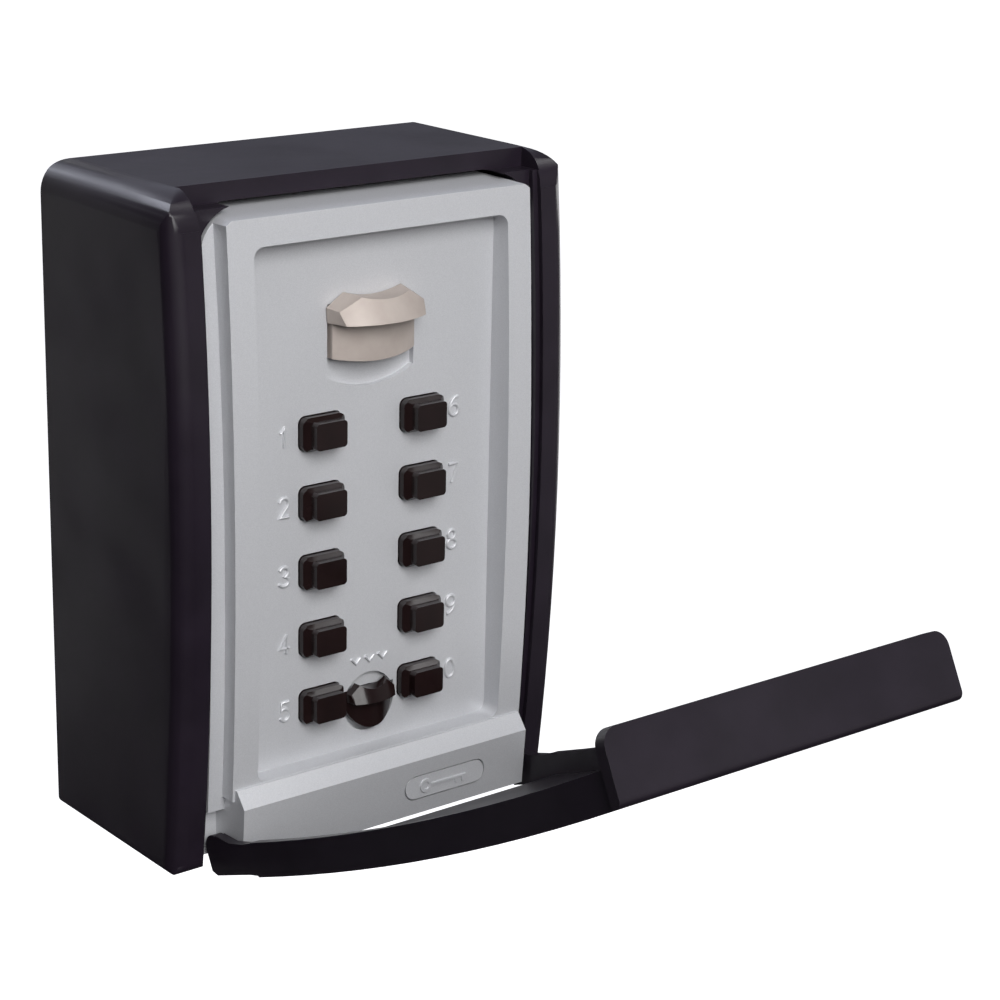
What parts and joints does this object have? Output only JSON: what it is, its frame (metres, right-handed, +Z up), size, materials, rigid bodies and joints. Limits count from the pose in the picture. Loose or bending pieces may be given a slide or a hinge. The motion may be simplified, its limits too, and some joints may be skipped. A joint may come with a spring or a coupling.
{
  "type": "key lock box",
  "caption": "Wall key safe: black case, hinged push-button door with a sliding open lever and reset, and a hinged weather cover that folds down in front.",
  "frame": {"origin": "middle of the flat back, on the wall plane", "axes": "+Z up, +Y into the wall, so the door and its cover face -Y; +X to the right seen from the front"},
  "size_m": [0.085, 0.1471, 0.1217],
  "materials": {
    "shell_black": "satin black powder coat with a faint blue cast",
    "cover_black": "satin black moulded plastic",
    "silver_paint": "fine-grained silver metallic paint on a zinc casting",
    "nickel": "satin nickel plate",
    "button_black": "glossy black plastic",
    "rubber_black": "matt black rubber",
    "zinc_inner": "bare die-cast zinc",
    "steel": "zinc-plated steel",
    "spring_steel": "bright spring wire",
    "brass": "turned brass",
    "felt": "black felt"
  },
  "bodies": {
    "case": {"housing_shell": "shell_black", "key_box": "zinc_inner", "wall_gasket": "rubber_black", "door_seal": "rubber_black", "strike_plate": "steel", "strike_screws": "steel", "door_hinge_pin": "steel", "key_hook": "steel", "hook_screw": "steel", "interior_pad": "felt", "shell_screws": "steel"},
    "door": {"door_casting": "silver_paint", "badge_plate": "silver_paint", "cover_hinge_pins": "steel", "guide_plate": "steel", "guide_screws": "steel", "mechanism_cover": "zinc_inner", "cover_screws": "steel", "button_springs": "spring_steel", "lever_springs": "spring_steel", "reset_spring": "spring_steel"},
    "cover": {"weather_cover": "cover_black"},
    "lever": {"open_lever": "nickel", "lock_plate": "steel", "lever_screw": "steel", "latch_hook": "steel"},
    "reset": {"reset_slide": "button_black", "reset_keeper": "steel"},
    "button_1": {"button_1": "button_black"},
    "button_2": {"button_2": "button_black"},
    "button_3": {"button_3": "button_black"},
    "button_4": {"button_4": "button_black"},
    "button_5": {"button_5": "button_black"},
    "button_6": {"button_6": "button_black"},
    "button_7": {"button_7": "button_black"},
    "button_8": {"button_8": "button_black"},
    "button_9": {"button_9": "button_black"},
    "button_0": {"button_0": "button_black"},
    "code_screw_1": {"code_screw_1": "brass"},
    "code_screw_2": {"code_screw_2": "brass"},
    "code_screw_3": {"code_screw_3": "brass"},
    "code_screw_4": {"code_screw_4": "brass"},
    "code_screw_5": {"code_screw_5": "brass"},
    "code_screw_6": {"code_screw_6": "brass"},
    "code_screw_7": {"code_screw_7": "brass"},
    "code_screw_8": {"code_screw_8": "brass"},
    "code_screw_9": {"code_screw_9": "brass"},
    "code_screw_0": {"code_screw_0": "brass"}
  },
  "joints": [
    {"name": "door_hinge", "type": "hinge", "parent": "case", "child": "door", "pos_m": [0, -0.026, -0.0568], "axis": [1, 0, 0], "range_deg": [0, 90]},
    {"name": "cover_hinge", "type": "hinge", "parent": "door", "child": "cover", "pos_m": [0, -0.0405, -0.057], "axis": [-1, 0, 0], "range_deg": [0, 63.6]},
    {"name": "lever_slide", "type": "slide", "parent": "door", "child": "lever", "axis": [0, 0, -1], "range_m": [0, 0.0035], "stiffness_N_per_m": 600, "springref_m": -0.004, "deforming": ["lever_springs"]},
    {"name": "reset_slide", "type": "slide", "parent": "door", "child": "reset", "axis": [0, 0, -1], "range_m": [0, 0.0009], "stiffness_N_per_m": 400, "springref_m": -0.002, "deforming": ["reset_spring"]},
    {"name": "button_1_press", "type": "slide", "parent": "door", "child": "button_1", "axis": [0, 1, 0], "range_m": [0, 0.0015], "stiffness_N_per_m": 400, "springref_m": -0.0015, "deforming": ["button_springs"]},
    {"name": "button_2_press", "type": "slide", "parent": "door", "child": "button_2", "axis": [0, 1, 0], "range_m": [0, 0.0015], "stiffness_N_per_m": 400, "springref_m": -0.0015, "deforming": ["button_springs"]},
    {"name": "button_3_press", "type": "slide", "parent": "door", "child": "button_3", "axis": [0, 1, 0], "range_m": [0, 0.0015], "stiffness_N_per_m": 400, "springref_m": -0.0015, "deforming": ["button_springs"]},
    {"name": "button_4_press", "type": "slide", "parent": "door", "child": "button_4", "axis": [0, 1, 0], "range_m": [0, 0.0015], "stiffness_N_per_m": 400, "springref_m": -0.0015, "deforming": ["button_springs"]},
    {"name": "button_5_press", "type": "slide", "parent": "door", "child": "button_5", "axis": [0, 1, 0], "range_m": [0, 0.0015], "stiffness_N_per_m": 400, "springref_m": -0.0015, "deforming": ["button_springs"]},
    {"name": "button_6_press", "type": "slide", "parent": "door", "child": "button_6", "axis": [0, 1, 0], "range_m": [0, 0.0015], "stiffness_N_per_m": 400, "springref_m": -0.0015, "deforming": ["button_springs"]},
    {"name": "button_7_press", "type": "slide", "parent": "door", "child": "button_7", "axis": [0, 1, 0], "range_m": [0, 0.0015], "stiffness_N_per_m": 400, "springref_m": -0.0015, "deforming": ["button_springs"]},
    {"name": "button_8_press", "type": "slide", "parent": "door", "child": "button_8", "axis": [0, 1, 0], "range_m": [0, 0.0015], "stiffness_N_per_m": 400, "springref_m": -0.0015, "deforming": ["button_springs"]},
    {"name": "button_9_press", "type": "slide", "parent": "door", "child": "button_9", "axis": [0, 1, 0], "range_m": [0, 0.0015], "stiffness_N_per_m": 400, "springref_m": -0.0015, "deforming": ["button_springs"]},
    {"name": "button_0_press", "type": "slide", "parent": "door", "child": "button_0", "axis": [0, 1, 0], "range_m": [0, 0.0015], "stiffness_N_per_m": 400, "springref_m": -0.0015, "deforming": ["button_springs"]},
    {"name": "code_screw_1_turn", "type": "hinge", "parent": "door", "child": "code_screw_1", "pos_m": [-0.01098, -0.024, 0.01518], "axis": [0, -1, 0], "range_deg": [0, 180]},
    {"name": "code_screw_2_turn", "type": "hinge", "parent": "door", "child": "code_screw_2", "pos_m": [-0.01098, -0.024, 0.00254], "axis": [0, -1, 0], "range_deg": [0, 180]},
    {"name": "code_screw_3_turn", "type": "hinge", "parent": "door", "child": "code_screw_3", "pos_m": [-0.01098, -0.024, -0.0101], "axis": [0, -1, 0], "range_deg": [0, 180]},
    {"name": "code_screw_4_turn", "type": "hinge", "parent": "door", "child": "code_screw_4", "pos_m": [-0.01098, -0.024, -0.02274], "axis": [0, -1, 0], "range_deg": [0, 180]},
    {"name": "code_screw_5_turn", "type": "hinge", "parent": "door", "child": "code_screw_5", "pos_m": [-0.01098, -0.024, -0.03538], "axis": [0, -1, 0], "range_deg": [0, 180]},
    {"name": "code_screw_6_turn", "type": "hinge", "parent": "door", "child": "code_screw_6", "pos_m": [0.01098, -0.024, 0.01518], "axis": [0, -1, 0], "range_deg": [0, 180]},
    {"name": "code_screw_7_turn", "type": "hinge", "parent": "door", "child": "code_screw_7", "pos_m": [0.01098, -0.024, 0.00254], "axis": [0, -1, 0], "range_deg": [0, 180]},
    {"name": "code_screw_8_turn", "type": "hinge", "parent": "door", "child": "code_screw_8", "pos_m": [0.01098, -0.024, -0.0101], "axis": [0, -1, 0], "range_deg": [0, 180]},
    {"name": "code_screw_9_turn", "type": "hinge", "parent": "door", "child": "code_screw_9", "pos_m": [0.01098, -0.024, -0.02274], "axis": [0, -1, 0], "range_deg": [0, 180]},
    {"name": "code_screw_0_turn", "type": "hinge", "parent": "door", "child": "code_screw_0", "pos_m": [0.01098, -0.024, -0.03538], "axis": [0, -1, 0], "range_deg": [0, 180]}
  ]
}
